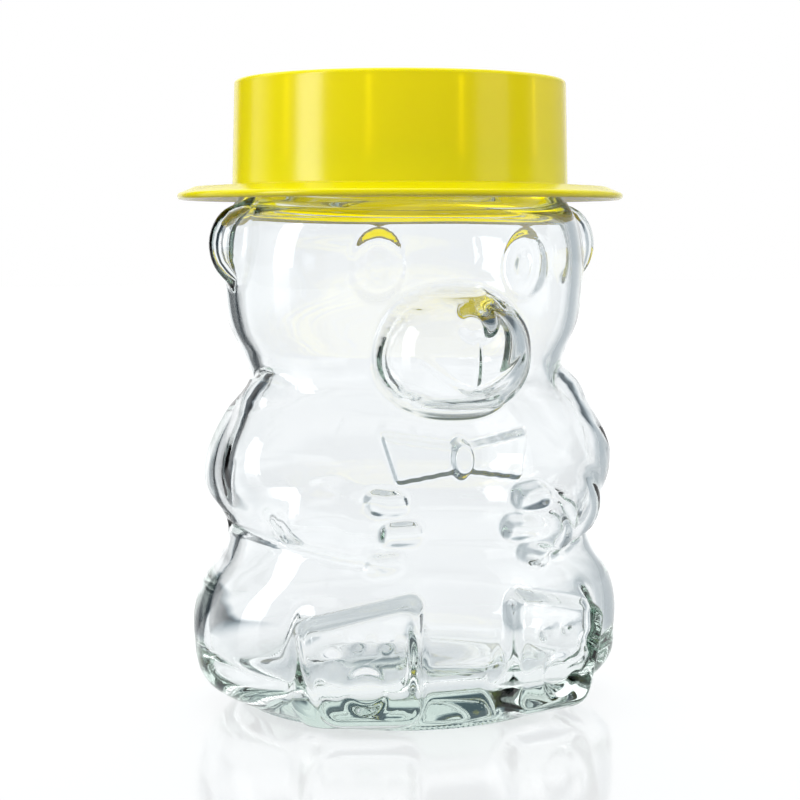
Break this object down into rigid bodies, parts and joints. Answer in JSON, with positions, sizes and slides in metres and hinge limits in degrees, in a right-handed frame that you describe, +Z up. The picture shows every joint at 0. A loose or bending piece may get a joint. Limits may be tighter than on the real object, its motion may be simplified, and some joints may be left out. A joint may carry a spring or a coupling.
{
  "type": "honey bear jar",
  "caption": "Clear glass honey jar moulded as a sitting bear, closed by a steel lug cap with its sealing ring under a yellow hat cover.",
  "frame": {"origin": "centre of the contact ring, on the surface that the jar stands on", "axes": "+Z up along the axis of the finish, cap and hat; the bear faces -Y; +X to the bear's left"},
  "size_m": [0.0918, 0.0918, 0.1282],
  "materials": {
    "clear_glass": "clear, polished, faintly green at the edges",
    "plastisol": "soft matte, off-white",
    "yellow_lacquered_steel": "glossy yellow lacquer over tinned steel, the colour of the hat",
    "yellow_plastic": "smooth, glossy, injection-moulded"
  },
  "bodies": {
    "jar": {"glass_jar": "clear_glass"},
    "seal": {"sealing_ring": "plastisol"},
    "cap": {"twist_off_cap": "yellow_lacquered_steel"},
    "hat": {"hat_cover": "yellow_plastic"}
  },
  "joints": [
    {"name": "cap_rise", "type": "slide", "parent": "jar", "child": "seal", "axis": [0, 0, 1], "range_m": [0, 0.01401]},
    {"name": "cap_twist", "type": "hinge", "parent": "seal", "child": "cap", "pos_m": [0, 0, 0.12], "axis": [0, 0, 1], "range_deg": [0, 420]},
    {"name": "hat_lift", "type": "slide", "parent": "cap", "child": "hat", "axis": [0, 0, 1], "range_m": [0, 0.026]}
  ],
  "couplings": [
    {"joint": "cap_rise", "follows": "cap_twist", "m_per_rad": 0.0019099}
  ]
}
